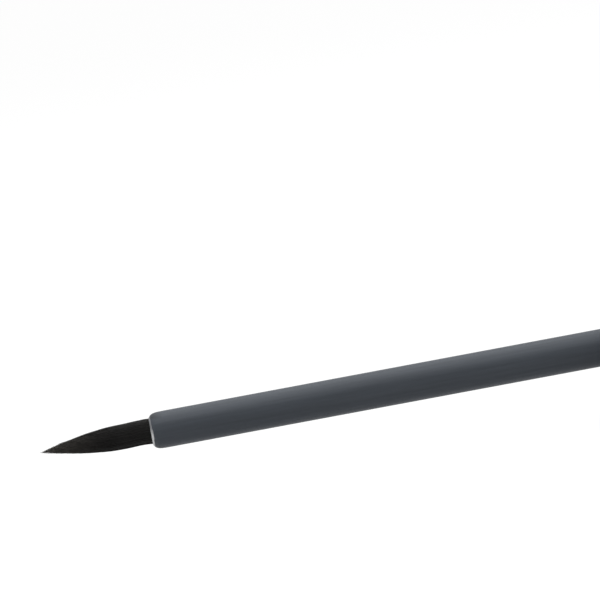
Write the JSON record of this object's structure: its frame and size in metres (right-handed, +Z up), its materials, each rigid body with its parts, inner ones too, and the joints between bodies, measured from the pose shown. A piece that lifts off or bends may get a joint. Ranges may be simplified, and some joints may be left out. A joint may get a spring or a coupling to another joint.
{
  "type": "liquid eyeliner bottle",
  "caption": "Slim screw-neck bottle of liquid eyeliner, its cap drawn out in line with it, with a slim stem that ends in a pointed black brush.",
  "frame": {"origin": "on the surface that the part lies on, below the middle of its length with the applicator drawn out", "axes": "+X runs from the bottle's base along the common axis to the cap's end, +Z is up, and +Y completes a right-handed set"},
  "size_m": [0.182, 0.013, 0.013],
  "materials": {
    "slate_plastic": "satin slate grey moulded plastic",
    "label": "bare pale label",
    "clear_plastic": "clear polished thick-walled plastic",
    "gunmetal": "dark anodised, satin",
    "natural_plastic": "soft milky plastic",
    "steel": "polished steel",
    "ink": "glossy black liquid",
    "bristle": "black nylon bristle, soft sheen",
    "black_plastic": "black moulded plastic",
    "foam": "white closed-cell foam"
  },
  "bodies": {
    "bottle": {"bottle": "clear_plastic", "base_plug": "slate_plastic", "base_label": "label", "shoulder_ring": "gunmetal", "wiper": "natural_plastic", "liquid": "ink"},
    "mixing_ball": {"mixing_ball": "steel"},
    "cap_ring": {"cap_ring": "gunmetal"},
    "applicator": {"inner_cap": "black_plastic", "cap_shell": "slate_plastic", "cap_end": "slate_plastic", "seal_washer": "foam", "stem": "slate_plastic", "tuft": "bristle", "tuft_anchor": "steel"}
  },
  "joints": [
    {"name": "applicator_insert", "type": "slide", "parent": "bottle", "child": "cap_ring", "axis": [-1, 0, 0], "range_m": [0, 0.07175]},
    {"name": "cap_twist", "type": "hinge", "parent": "cap_ring", "child": "applicator", "pos_m": [0.04297, 0, 0.00648], "axis": [1, 0, 0], "range_deg": [0, 360]},
    {"name": "ball_roll", "type": "slide", "parent": "bottle", "child": "mixing_ball", "axis": [1, 0, 0], "range_m": [0, 0.0505], "deforming": ["liquid"]}
  ]
}
